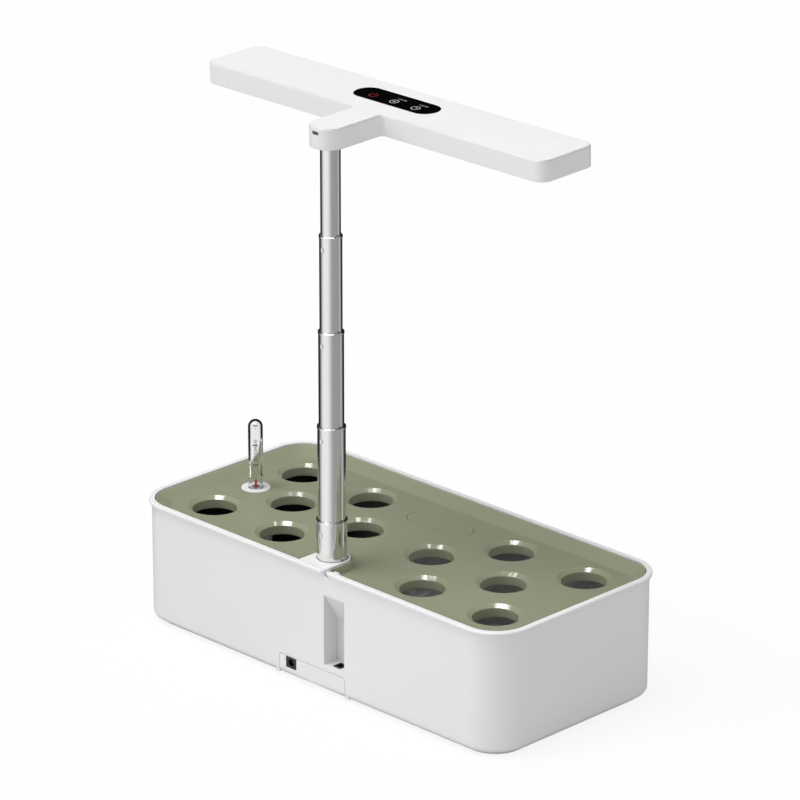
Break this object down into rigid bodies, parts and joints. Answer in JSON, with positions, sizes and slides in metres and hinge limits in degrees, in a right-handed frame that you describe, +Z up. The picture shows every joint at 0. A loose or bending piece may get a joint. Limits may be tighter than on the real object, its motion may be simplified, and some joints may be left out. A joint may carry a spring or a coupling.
{
  "type": "countertop hydroponic garden",
  "caption": "Countertop hydroponic garden: a water tank under a planting deck, and a grow lamp on a telescopic steel mast.",
  "frame": {"origin": "centre of the footprint, on the surface that the garden stands on", "axes": "+X along the tank, from the water gauge to the other end; +Y from the mast and the power inlet to the refill lid's side; +Z up"},
  "size_m": [0.3994, 0.1898, 0.4534],
  "materials": {
    "white_plastic": "satin, moulded",
    "olive_plastic": "satin, moulded",
    "base_plastic": "satin, moulded",
    "steel": "polished stainless",
    "screw_steel": "plain",
    "foot_rubber": "matte",
    "cup_rubber": "satin",
    "black_plastic": "satin",
    "bush_plastic": "satin",
    "circuit_board": "solder mask",
    "led_board": "white solder mask",
    "led_phosphor": "silicone",
    "panel_black": "high gloss",
    "diffuser_plastic": "opal",
    "clear_plastic": "clear polycarbonate",
    "float_foam": "foam",
    "red_plastic": "satin",
    "pump_plastic": "satin",
    "rotor_plastic": "satin"
  },
  "bodies": {
    "base": {"tank": "white_plastic", "base_cover": "base_plastic", "rubber_feet": "foot_rubber", "base_screws": "screw_steel", "control_cover": "white_plastic", "dc_jack": "black_plastic", "control_board": "circuit_board", "board_screws": "screw_steel", "pump_socket": "black_plastic", "mast_bracket": "white_plastic", "mast_tube_1": "steel", "mast_collar_1": "steel", "pump_body": "pump_plastic", "pump_face": "pump_plastic", "pump_strainer": "pump_plastic", "pump_riser": "pump_plastic", "suction_cups": "cup_rubber", "impeller_axle": "steel"},
    "stage_2": {"mast_tube_2": "steel", "mast_collar_2": "steel", "slide_bush_2": "bush_plastic"},
    "stage_3": {"mast_tube_3": "steel", "mast_collar_3": "steel", "slide_bush_3": "bush_plastic"},
    "stage_4": {"mast_tube_4": "steel", "mast_collar_4": "steel", "slide_bush_4": "bush_plastic"},
    "head": {"mast_tube_5": "steel", "slide_bush_5": "bush_plastic", "mast_socket": "bush_plastic", "lamp_shell": "white_plastic", "lamp_cover": "white_plastic", "diffuser": "diffuser_plastic", "led_board": "led_board", "led_chips": "led_phosphor", "touch_panel": "panel_black", "touch_board": "circuit_board", "lamp_port": "black_plastic", "lamp_screws": "screw_steel"},
    "deck": {"deck": "olive_plastic", "gauge_flange": "white_plastic", "gauge_tube": "clear_plastic", "float_guide": "white_plastic"},
    "refill_lid": {"refill_lid": "olive_plastic"},
    "float": {"float": "float_foam", "float_rod": "red_plastic"},
    "impeller": {"impeller": "rotor_plastic"}
  },
  "joints": [
    {"name": "stage_2_slide", "type": "slide", "parent": "base", "child": "stage_2", "axis": [0, 0, 1], "range_m": [-0.0695, 0]},
    {"name": "stage_3_slide", "type": "slide", "parent": "stage_2", "child": "stage_3", "axis": [0, 0, 1], "range_m": [-0.0695, 0]},
    {"name": "stage_4_slide", "type": "slide", "parent": "stage_3", "child": "stage_4", "axis": [0, 0, 1], "range_m": [-0.0695, 0]},
    {"name": "head_slide", "type": "slide", "parent": "stage_4", "child": "head", "axis": [0, 0, 1], "range_m": [-0.0695, 0]},
    {"name": "deck_lift", "type": "slide", "parent": "base", "child": "deck", "axis": [0, 0, 1], "range_m": [0, 0.06]},
    {"name": "lid_pivot", "type": "hinge", "parent": "deck", "child": "refill_lid", "pos_m": [-0.016, 0.049, 0.0937], "axis": [0, -1, 0], "range_deg": [0, 55]},
    {"name": "float_rise", "type": "slide", "parent": "deck", "child": "float", "axis": [0, 0, 1], "range_m": [0, 0.045]},
    {"name": "impeller_spin", "type": "hinge", "parent": "base", "child": "impeller", "pos_m": [0.006, 0.008, 0.032], "axis": [0, 1, 0], "continuous": true}
  ]
}
